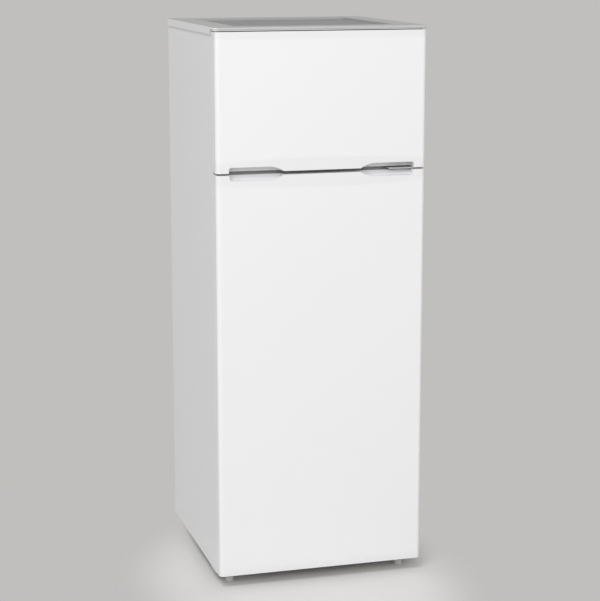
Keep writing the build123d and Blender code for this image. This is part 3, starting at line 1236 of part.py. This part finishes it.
def build_door(name, low, high, seam_sign, caps, bushes, cavity):
    """One door: skin, two caps, foam, liner, seal and bushes."""
    plain = (high - TOP_CAP_H, high) if seam_sign > 0 else (low, low + BOTTOM_CAP_H)
    skin = door_skin(low, high, seam_sign, *plain)
    liner = door_liner(low, high, *cavity)
    save(skin, f"{name}_skin")
    save(caps[0], f"{name}_bottom_cap")
    save(caps[1], f"{name}_top_cap")
    save(liner, f"{name}_liner")
    save(door_foam(low, high, *cavity, [skin, liner, *caps, *bushes]), f"{name}_foam")
    save(door_gasket(low, high), f"{name}_gasket")
    save(group(*bushes), f"{name}_bushes")


def build_doors():
    """Both doors and what they carry."""
    build_door("freezer_door", FREEZER_DOOR_Z, DOOR_TOP_Z, 1,
               [pocket_cap(1), plain_cap(DOOR_TOP_Z, -1, TOP_CAP_H)],
               [bush(FREEZER_DOOR_Z, 1, True), bush(DOOR_TOP_Z, -1, False)],
               (FREEZER_FLOOR_Z, FREEZER_CEILING_Z))
    build_door("fridge_door", DOOR_BOTTOM_Z, FRIDGE_DOOR_TOP_Z, -1,
               [plain_cap(DOOR_BOTTOM_Z, 1, BOTTOM_CAP_H), pocket_cap(-1)],
               [bush(DOOR_BOTTOM_Z, 1, True), bush(FRIDGE_DOOR_TOP_Z, -1, False)],
               (FRIDGE_FLOOR_Z, FRIDGE_CEILING_Z))
    save(group(*[door_bin(level, BIN_DEPTH, BIN_H) for level in BIN_LEVELS]), "fridge_door_bins")
    save(group(*[door_bin(level, RACK_DEPTH, RACK_H) for level in RACK_LEVELS]), "freezer_door_racks")


build_cabinet()
build_movers()
build_doors()
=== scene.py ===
import json
import math
import bmesh
import bpy
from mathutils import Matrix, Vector


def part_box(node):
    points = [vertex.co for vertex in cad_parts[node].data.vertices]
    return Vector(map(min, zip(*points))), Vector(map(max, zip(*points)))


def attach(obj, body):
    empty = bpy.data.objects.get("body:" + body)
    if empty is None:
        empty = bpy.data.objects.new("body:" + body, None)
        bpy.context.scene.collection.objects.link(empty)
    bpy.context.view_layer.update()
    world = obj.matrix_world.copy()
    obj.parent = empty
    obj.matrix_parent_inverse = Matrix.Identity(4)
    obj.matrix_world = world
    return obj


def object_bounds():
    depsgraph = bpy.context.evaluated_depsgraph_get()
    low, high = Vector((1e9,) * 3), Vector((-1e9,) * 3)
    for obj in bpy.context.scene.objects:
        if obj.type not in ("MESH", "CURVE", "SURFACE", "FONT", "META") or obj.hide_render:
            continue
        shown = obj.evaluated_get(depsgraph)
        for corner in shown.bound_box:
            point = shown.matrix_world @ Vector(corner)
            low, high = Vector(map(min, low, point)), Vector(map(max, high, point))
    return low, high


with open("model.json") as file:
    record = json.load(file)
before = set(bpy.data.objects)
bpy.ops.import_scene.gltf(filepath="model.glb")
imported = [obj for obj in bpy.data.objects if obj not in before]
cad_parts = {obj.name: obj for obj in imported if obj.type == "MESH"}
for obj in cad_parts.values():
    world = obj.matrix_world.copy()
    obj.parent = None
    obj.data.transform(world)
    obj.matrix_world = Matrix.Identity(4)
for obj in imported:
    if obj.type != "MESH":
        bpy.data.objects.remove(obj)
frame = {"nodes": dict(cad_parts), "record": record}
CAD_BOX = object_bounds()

NODES = frame["nodes"]
MIDDLE = (CAD_BOX[0] + CAD_BOX[1]) / 2

# ---------------------------------------------------------------- camera, from the fitted viewpoint
CAMERA_PLACE = (-1.229, -4.398, 1.628)
CAMERA_PITCH_DOWN = 11.62       # degrees
CAMERA_TURN = -15.88            # degrees about Z
CAMERA_LENS = 103.90            # on a 36 mm sensor

# ---------------------------------------------------------------- tones, as linear reflectance
WHITE_PAINT = (0.838, 0.838, 0.852)
WHITE_CAP = (0.804, 0.800, 0.812)
WHITE_SIDE = (0.815, 0.815, 0.826)
WHITE_COVER = (0.775, 0.775, 0.783)
# darker tone for the cover's front lip, a painted shade
LIP_SHADE_TONE = (0.512, 0.512, 0.518)
WHITE_LINER = (0.830, 0.833, 0.828)
# darker tone for the cover's top and inner faces, a painted shade
COVER_TOP_SHADE_TONE = (0.415, 0.417, 0.415)
PANEL_GREY = (0.222, 0.227, 0.232)
GASKET_GREY = (0.420, 0.420, 0.418)
BACKDROP = (0.527, 0.521, 0.509)
FLOOR_PALE = (0.722, 0.715, 0.699)

# ---------------------------------------------------------------- light levels
# Each level is the light on a surface that faces the lamp. At a level of 1 a colour renders as written.
WORLD_LEVEL = 0.48
KEY_LEVEL = 0.40                # high, from the front left
KEY_FROM = (-0.40, -0.52, 0.78)
KEY_DISTANCE = 9.0
KEY_SIZE = 3.2
FILL_LEVEL = 0.29               # low, from the front
FILL_FROM = (-0.24, -0.88, 0.44)
FILL_DISTANCE = 10.0
FILL_SIZE = 3.0

# ---------------------------------------------------------------- floor
FLOOR_HALF = 70.0
# The lit floor is an ellipse. A point is scaled and moved, and its distance then says how lit it is.
FLOOR_GLOW_SCALE = (1.30, 1.0, 1.0)
FLOOR_GLOW_AT = (0.06, 0.25, 0.0)       # puts the middle of the ellipse to the front and a little left
FLOOR_GLOW_NEAR = 0.36                  # fully lit up to here
FLOOR_GLOW_FAR = 0.62                   # the backdrop's grey from here

# ---------------------------------------------------------------- return under the cover's front lip
LIP_UNDER = 1.425               # underside of the cover's lip
LIP_CORNER = 0.011
RETURN_DROP = 0.0036
RETURN_THICK = 0.0016
RETURN_EDGE = 0.0005            # chamfer, and how far it reaches into the lip
RETURN_SET = 0.0010             # behind the lip's face
RETURN_BACK = -0.240            # where its two ends stop, along Y
CORNER_STEPS = 12

# ---------------------------------------------------------------- tones of the cover by facing, with painted shade on its lip and top
TOP_SHADE_INSIDE = 0.96              # part of the half width or depth inside which every face takes the top's painted shade
LIP_SHADE_FACING = (0.60, 0.95)     # how far a face turns to the front, from the side's tone to the lip's painted shade
TOP_SHADE_FACING = (0.45, 0.75)       # how far it turns up, from the side's tone to the top's painted shade

# Sockets of a colour Mix node, which has several of the same name.
MIX_SHARE, MIX_FIRST, MIX_SECOND, MIX_RESULT = 0, 6, 7, 2

# Rays that see the backdrop's grey. The others see the light.
SEEN_RAYS = ("Is Camera Ray", "Is Glossy Ray", "Is Transmission Ray")


# ---------------------------------------------------------------- node helpers
def seen_share(tree):
    """1 for the rays that see the backdrop, 0 for the others."""
    path = tree.nodes.new("ShaderNodeLightPath")
    share = path.outputs[SEEN_RAYS[0]]
    for ray in SEEN_RAYS[1:]:
        either = tree.nodes.new("ShaderNodeMath")
        either.operation = "MAXIMUM"
        tree.links.new(share, either.inputs[0])
        tree.links.new(path.outputs[ray], either.inputs[1])
        share = either.outputs[0]
    return share


class Surface:
    """A node material around one Principled shader, with object coordinates."""

    def __init__(self, name, roughness=0.4, metallic=0.0, **uniform):
        self.material = bpy.data.materials.new(name)
        self.material.use_nodes = True
        self.tree = self.material.node_tree
        self.shader = self.tree.nodes["Principled BSDF"]
        self.shader.inputs["Roughness"].default_value = roughness
        self.shader.inputs["Metallic"].default_value = metallic
        for socket, value in uniform.items():
            self.shader.inputs[socket.replace("_", " ")].default_value = value
        self.coords = self.node("ShaderNodeTexCoord").outputs["Object"]

    def node(self, kind, **settings):
        made = self.tree.nodes.new(kind)
        for key, value in settings.items():
            setattr(made, key, value)
        return made

    def link(self, out, into):
        self.tree.links.new(out, into)

    def stretched(self, scale):
        """Object coordinates, scaled along each axis."""
        mapping = self.node("ShaderNodeMapping")
        mapping.inputs["Scale"].default_value = scale
        self.link(self.coords, mapping.inputs["Vector"])
        return mapping.outputs["Vector"]

    def noise(self, scale, detail=3.0, coords=None):
        made = self.node("ShaderNodeTexNoise")
        made.inputs["Scale"].default_value = scale
        made.inputs["Detail"].default_value = detail
        self.link(coords or self.coords, made.inputs["Vector"])
        return made.outputs["Fac"]

    def cells(self, scale, coords=None):
        made = self.node("ShaderNodeTexVoronoi")
        made.inputs["Scale"].default_value = scale
        self.link(coords or self.coords, made.inputs["Vector"])
        return made

    def ramp(self, value, low, high, low_at=0.35, high_at=0.65):
        """Colour between two tones by a value."""
        made = self.node("ShaderNodeValToRGB")
        ends = made.color_ramp.elements
        ends[0].position, ends[1].position = low_at, high_at
        ends[0].color, ends[1].color = (*low, 1), (*high, 1)
        self.link(value, made.inputs["Fac"])
        return made.outputs["Color"]

    def blend(self, share, first, tone):
        """A colour that turns into a tone as share goes from 0 to 1."""
        made = self.node("ShaderNodeMix", data_type="RGBA")
        self.link(share, made.inputs[MIX_SHARE])
        self.link(first, made.inputs[MIX_FIRST])
        made.inputs[MIX_SECOND].default_value = (*tone, 1)
        return made.outputs[MIX_RESULT]

    def levels(self, value, low, high, low_at=0.3, high_at=0.7):
        """A value moved into another range."""
        made = self.node("ShaderNodeMapRange")
        made.inputs["From Min"].default_value = low_at
        made.inputs["From Max"].default_value = high_at
        made.inputs["To Min"].default_value = low
        made.inputs["To Max"].default_value = high
        self.link(value, made.inputs["Value"])
        return made.outputs["Result"]

    def math(self, operation, first, second=None):
        """One sum on a socket and a second socket or a number."""
        made = self.node("ShaderNodeMath", operation=operation)
        self.link(first, made.inputs[0])
        if isinstance(second, float):
            made.inputs[1].default_value = second
        elif second is not None:
            self.link(second, made.inputs[1])
        return made.outputs[0]

    def bump(self, height, distance, strength=1.0):
        made = self.node("ShaderNodeBump")
        made.inputs["Distance"].default_value = distance
        made.inputs["Strength"].default_value = strength
        if self.shader.inputs["Normal"].links:
            self.link(self.shader.inputs["Normal"].links[0].from_socket, made.inputs["Normal"])
        self.link(height, made.inputs["Height"])
        self.link(made.outputs["Normal"], self.shader.inputs["Normal"])

    def colour(self, socket):
        self.link(socket, self.shader.inputs["Base Color"])

    def rough(self, socket):
        self.link(socket, self.shader.inputs["Roughness"])


def toned(tone, factor):
    """A tone made lighter or darker."""
    return tuple(min(1.0, channel * factor) for channel in tone)


def varied(surface, tone, scale, spread):
    """Base colour that drifts a little about one tone."""
    darker, lighter = toned(tone, 1 - spread), toned(tone, 1 + spread)
    surface.colour(surface.ramp(surface.noise(scale), darker, lighter, 0.15, 0.85))


# ---------------------------------------------------------------- materials
def enamel(name, tone, roughness, peel=0.00006, coat=0.25):
    """Baked paint on sheet steel: faint orange peel and drifting gloss."""
    s = Surface(name, roughness, Coat_Weight=coat, Coat_Roughness=0.06)
    varied(s, tone, 1.6, 0.005)
    s.rough(s.levels(s.noise(3.0, 1.0), roughness * 0.97, roughness * 1.03))
    s.bump(s.noise(420.0, 2.0), peel)
    return s.material


def moulded(name, tone, roughness, grain=900.0, depth=0.00005, spread=0.02):
    """Moulded plastic with a fine eroded grain."""
    s = Surface(name, roughness)
    varied(s, tone, 6.0, spread)
    s.rough(s.levels(s.noise(40.0), roughness * 0.85, roughness * 1.2))
    s.bump(s.noise(grain, 4.0), depth)
    return s.material


def facing_shaded(name, side_tone, lip_shade_tone, top_shade_tone, roughness):
    """Grained moulding toned by facing: the side's tone on outer upright faces, painted shade on
    front-facing, upward and inner faces.
    """
    s = Surface(name, roughness)
    facing = s.node("ShaderNodeSeparateXYZ")
    s.link(s.node("ShaderNodeTexCoord").outputs["Normal"], facing.inputs[0])
    place = s.node("ShaderNodeSeparateXYZ")
    s.link(s.stretched((1 / CAD_BOX[1][0], 1 / CAD_BOX[1][1], 1)), place.inputs[0])
    across = s.math("ABSOLUTE", place.outputs["X"])
    along = s.math("ABSOLUTE", place.outputs["Y"])
    # faces inside the outer band take the top's painted shade
    inner = s.math("LESS_THAN", s.math("MAXIMUM", across, along), TOP_SHADE_INSIDE)
    # front-facing faces turn darker: painted shade on the lip
    upright = s.ramp(s.math("ABSOLUTE", facing.outputs["Y"]), side_tone, lip_shade_tone, *LIP_SHADE_FACING)
    # upward and inner faces turn darker: painted shade on the top
    top_shade_share = s.levels(s.math("MAXIMUM", facing.outputs["Z"], inner), 0.0, 1.0, *TOP_SHADE_FACING)
    s.colour(s.blend(top_shade_share, upright, top_shade_tone))
    s.rough(s.levels(s.noise(40.0), roughness * 0.85, roughness * 1.2))
    s.bump(s.noise(700.0, 4.0), 0.00009)
    return s.material


def vacuum_formed(name, tone):
    """Thin formed sheet: glossy, with slow waves."""
    s = Surface(name, 0.26)
    varied(s, tone, 3.0, 0.012)
    s.bump(s.noise(14.0, 2.0), 0.0006)
    s.bump(s.noise(700.0, 2.0), 0.00003)
    return s.material


def zinc(name, tone=(0.62, 0.63, 0.64)):
    """Zinc-coated steel: soft spangle and rolling lines."""
    s = Surface(name, 0.42, 0.60)
    spangle = s.cells(150.0)
    s.colour(s.ramp(spangle.outputs["Distance"], toned(tone, 0.95), toned(tone, 1.04), 0.1, 0.8))
    s.rough(s.levels(s.noise(60.0, 3.0, s.stretched((1, 14, 14))), 0.34, 0.52))
    s.bump(s.noise(240.0, 3.0, s.stretched((1, 12, 12))), 0.00004)
    return s.material


def bright_steel(name):
    """Plated screw steel."""
    s = Surface(name, 0.24, 1.0)
    varied(s, (0.66, 0.66, 0.67), 300.0, 0.10)
    s.rough(s.levels(s.noise(800.0), 0.16, 0.36))
    s.bump(s.noise(1500.0), 0.00002)
    return s.material


def pressed_aluminium(name):
    """Roll-bonded plate."""
    s = Surface(name, 0.35, 1.0)
    varied(s, (0.70, 0.71, 0.72), 30.0, 0.06)
    s.rough(s.levels(s.noise(90.0, 3.0, s.stretched((14, 1, 1))), 0.25, 0.45))
    s.bump(s.noise(300.0), 0.00004)
    return s.material


def foamed(name):
    """Rigid foam: small cells and a yellow skin."""
    s = Surface(name, 0.85)
    varied(s, (0.72, 0.58, 0.28), 12.0, 0.12)
    s.bump(s.cells(420.0).outputs["Distance"], 0.0005)
    return s.material


def rubber(name, tone, roughness=0.62):
    """Soft extruded rubber."""
    s = Surface(name, roughness)
    varied(s, tone, 30.0, 0.06)
    s.rough(s.levels(s.noise(120.0), roughness * 0.85, min(1.0, roughness * 1.2)))
    s.bump(s.noise(1200.0, 3.0), 0.00004)
    return s.material


def tubing(name, dark, light, metallic=1.0, roughness=0.34):
    """Drawn copper or painted tube, with patches of tarnish."""
    s = Surface(name, roughness, metallic)
    s.colour(s.ramp(s.noise(45.0, 5.0), dark, light))
    s.rough(s.levels(s.noise(140.0), roughness * 0.7, roughness * 1.4))
    s.bump(s.noise(600.0), 0.00003)
    return s.material


def cast_black(name):
    """Black enamel on the compressor shell."""
    s = Surface(name, 0.30, Coat_Weight=0.3, Coat_Roughness=0.15)
    varied(s, (0.014, 0.014, 0.015), 14.0, 0.3)
    s.rough(s.levels(s.noise(30.0, 4.0), 0.22, 0.45))
    s.bump(s.noise(350.0, 3.0), 0.00012)
    return s.material


def sheet_glass(name, tint):
    """Clear sheet with faint smears."""
    s = Surface(name, 0.03, Transmission_Weight=1.0, IOR=1.50)
    varied(s, tint, 8.0, 0.01)
    s.rough(s.levels(s.noise(11.0, 5.0), 0.02, 0.07))
    s.bump(s.noise(30.0), 0.00002)
    return s.material


def clear_moulding(name, tint, roughness):
    """Crystal plastic, a little hazy, with flow lines."""
    s = Surface(name, roughness, Transmission_Weight=0.88, IOR=1.49)
    varied(s, tint, 7.0, 0.015)
    s.rough(s.levels(s.noise(20.0, 4.0), roughness * 0.7, roughness * 1.4))
    s.bump(s.noise(16.0, 2.0, s.stretched((1, 1, 4))), 0.00006)
    return s.material


MATERIALS = {
    "door_paint": enamel("door_enamel", WHITE_PAINT, 0.24, 0.00005, 0.12),
    "door_cap": enamel("door_cap_plastic", WHITE_CAP, 0.30, 0.00002, 0.08),
    "cabinet_paint": enamel("cabinet_enamel", WHITE_SIDE, 0.36, 0.00010, 0.12),
    "zinc_steel": zinc("zinc_plate"),
    "screw_steel": bright_steel("plated_screw"),
    # lip and top of the cover are painted darker as shade
    "cover_plastic": facing_shaded("cover_grain_facing_shade", WHITE_COVER, LIP_SHADE_TONE, COVER_TOP_SHADE_TONE, 0.40),
    "panel_plastic": moulded("panel_grain", PANEL_GREY, 0.42, 520.0, 0.00014, 0.05),
    "liner_plastic": vacuum_formed("liner_sheet", WHITE_LINER),
    "foam": foamed("rigid_foam"),
    "gasket_rubber": rubber("seal_vinyl", GASKET_GREY, 0.55),
    "nylon": moulded("bush_nylon", (0.74, 0.74, 0.70), 0.35),
    "aluminium": pressed_aluminium("cold_plate"),
    "black_tube": tubing("black_tube", (0.01, 0.01, 0.01), (0.03, 0.03, 0.03), 0.0, 0.4),
    "black_steel": cast_black("compressor_enamel"),
    "black_rubber": rubber("black_rubber", (0.02, 0.02, 0.02)),
    "black_plastic": moulded("black_plastic", (0.022, 0.022, 0.023), 0.5, 600.0, 0.0001, 0.10),
    "grey_plastic": moulded("grey_plastic", (0.34, 0.34, 0.34), 0.5),
    "copper": tubing("copper_tube", (0.42, 0.17, 0.09), (0.80, 0.42, 0.28)),
    "shelf_glass": sheet_glass("shelf_glass", (0.90, 0.975, 0.955)),
    "clear_plastic": clear_moulding("crystal_plastic", (0.950, 0.975, 0.988), 0.06),
    "wire_white": enamel("wire_coating", (0.78, 0.78, 0.78), 0.30),
    "bulb_glass": sheet_glass("bulb_glass", (0.98, 0.97, 0.93)),
    "foot_plastic": moulded("foot_plastic", (0.70, 0.70, 0.69), 0.45),
    "roller_plastic": moulded("roller_plastic", (0.03, 0.03, 0.03), 0.45, 700.0, 0.00008, 0.1),
    "knob_plastic": moulded("knob_plastic", (0.74, 0.745, 0.75), 0.30),
}


def dress(node, material):
    """Gives a CAD node its material."""
    slots = NODES[node].data.materials
    slots.clear()
    slots.append(material)


for part in frame["record"]["subparts"]:
    dress(part["node"], MATERIALS[part["material_slot"]])


# ---------------------------------------------------------------- return under the cover's front lip
def lip_path(half, front, radius):
    """Points round the front of the cover, each with its outward way."""
    path = [(-half, RETURN_BACK, -1.0, 0.0)]
    for middle, start in ((-half + radius, math.pi), (half - radius, 1.5 * math.pi)):
        for step in range(CORNER_STEPS + 1):
            angle = start + step * math.pi / 2 / CORNER_STEPS
            x, y = math.cos(angle), math.sin(angle)
            path.append((middle + radius * x, front + radius + radius * y, x, y))
    path.append((half, RETURN_BACK, 1.0, 0.0))
    return path


def lip_return():
    """Thin return that hangs from the cover's lip and narrows the gap over the freezer door."""
    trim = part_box("cover_front_trim")
    low = LIP_UNDER - RETURN_DROP
    inner = RETURN_THICK - RETURN_EDGE
    profile = [(0.0, LIP_UNDER + RETURN_EDGE), (0.0, low + RETURN_EDGE), (RETURN_EDGE, low),
               (inner, low), (RETURN_THICK, low + RETURN_EDGE), (RETURN_THICK, LIP_UNDER + RETURN_EDGE)]
    mesh = bpy.data.meshes.new("cover_lip_return")
    shape = bmesh.new()
    rings = []
    path = lip_path(trim[1][0] - RETURN_SET, trim[0][1] + RETURN_SET, LIP_CORNER - RETURN_SET)
    for x, y, out_x, out_y in path:
        rings.append([shape.verts.new((x - depth * out_x, y - depth * out_y, z))
                      for depth, z in profile])
    for one, two in zip(rings, rings[1:]):
        for a in range(len(profile)):
            b = (a + 1) % len(profile)
            shape.faces.new((one[a], one[b], two[b], two[a]))
    shape.faces.new(rings[0])
    shape.faces.new(rings[-1][::-1])
    bmesh.ops.recalc_face_normals(shape, faces=shape.faces)
    shape.to_mesh(mesh)
    shape.free()
    mesh.materials.append(MATERIALS["cover_plastic"])
    made = bpy.data.objects.new("cover_lip_return", mesh)
    bpy.context.collection.objects.link(made)
    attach(made, "cabinet")


lip_return()


# ---------------------------------------------------------------- stage, light and camera
def stage_floor(name, half, material):
    """A square floor round the origin."""
    mesh = bpy.data.meshes.new(name)
    corners = [(-half, -half, 0), (half, -half, 0), (half, half, 0), (-half, half, 0)]
    mesh.from_pydata(corners, [], [(0, 1, 2, 3)])
    mesh.materials.append(material)
    made = bpy.data.objects.new(name, mesh)
    bpy.context.collection.objects.link(made)


def studio_floor_material():
    """Pale studio paper that takes the shadow round the object and fades into an even grey."""
    s = Surface("studio_paper", 0.9)
    s.colour(s.ramp(s.noise(5.0), toned(FLOOR_PALE, 0.99), toned(FLOOR_PALE, 1.01)))
    s.bump(s.noise(300.0), 0.00005)
    flat = s.node("ShaderNodeMapping")
    flat.inputs["Location"].default_value = FLOOR_GLOW_AT
    flat.inputs["Scale"].default_value = FLOOR_GLOW_SCALE
    s.link(s.coords, flat.inputs["Vector"])
    offset = s.node("ShaderNodeVectorMath", operation="LENGTH")
    s.link(flat.outputs["Vector"], offset.inputs[0])
    spread = s.node("ShaderNodeMapRange")
    spread.interpolation_type = "SMOOTHSTEP"
    spread.inputs["From Min"].default_value = FLOOR_GLOW_NEAR
    spread.inputs["From Max"].default_value = FLOOR_GLOW_FAR
    s.link(offset.outputs["Value"], spread.inputs["Value"])
    even = s.node("ShaderNodeEmission")
    even.inputs["Color"].default_value = (*BACKDROP, 1)
    fade = s.node("ShaderNodeMixShader")
    s.link(spread.outputs["Result"], fade.inputs[0])
    s.link(s.shader.outputs[0], fade.inputs[1])
    s.link(even.outputs[0], fade.inputs[2])
    shown = s.node("ShaderNodeMixShader")
    s.link(seen_share(s.tree), shown.inputs[0])
    s.link(s.shader.outputs[0], shown.inputs[1])
    s.link(fade.outputs[0], shown.inputs[2])
    s.link(shown.outputs[0], s.tree.nodes["Material Output"].inputs["Surface"])
    return s.material


stage_floor("studio_floor", FLOOR_HALF, studio_floor_material())


def set_world():
    """Even soft surround; what the camera, gloss and glass see is the backdrop's grey."""
    world = bpy.data.worlds.new("studio")
    bpy.context.scene.world = world
    world.use_nodes = True
    tree = world.node_tree
    light = tree.nodes["Background"]
    light.inputs["Color"].default_value = (1, 1, 1, 1)
    light.inputs["Strength"].default_value = WORLD_LEVEL
    seen = tree.nodes.new("ShaderNodeBackground")
    seen.inputs["Color"].default_value = (*BACKDROP, 1)
    mix = tree.nodes.new("ShaderNodeMixShader")
    tree.links.new(seen_share(tree), mix.inputs[0])
    tree.links.new(light.outputs[0], mix.inputs[1])
    tree.links.new(seen.outputs[0], mix.inputs[2])
    tree.links.new(mix.outputs[0], tree.nodes["World Output"].inputs["Surface"])


def soft_light(name, toward, distance, size, level):
    """A square soft box in a direction from the object, aimed at its middle."""
    data = bpy.data.lights.new(name, "AREA")
    data.shape = "SQUARE"
    data.size = size
    data.energy = level * (math.pi * distance) ** 2
    made = bpy.data.objects.new(name, data)
    way = Vector(toward).normalized()
    made.location = MIDDLE + way * distance
    made.rotation_mode = "QUATERNION"
    made.rotation_quaternion = (-way).to_track_quat("-Z", "Y")
    made.visible_camera = False
    bpy.context.collection.objects.link(made)


def set_camera():
    """The camera at the fitted viewpoint."""
    data = bpy.data.cameras.new("camera")
    data.sensor_width = 36.0
    data.lens = CAMERA_LENS
    made = bpy.data.objects.new("camera", data)
    made.location = CAMERA_PLACE
    made.rotation_euler = (math.radians(90 - CAMERA_PITCH_DOWN), 0, math.radians(CAMERA_TURN))
    bpy.context.collection.objects.link(made)
    bpy.context.scene.camera = made


set_world()
soft_light("key", KEY_FROM, KEY_DISTANCE, KEY_SIZE, KEY_LEVEL)
soft_light("fill", FILL_FROM, FILL_DISTANCE, FILL_SIZE, FILL_LEVEL)
set_camera()
bpy.context.scene.view_settings.view_transform = "Standard"
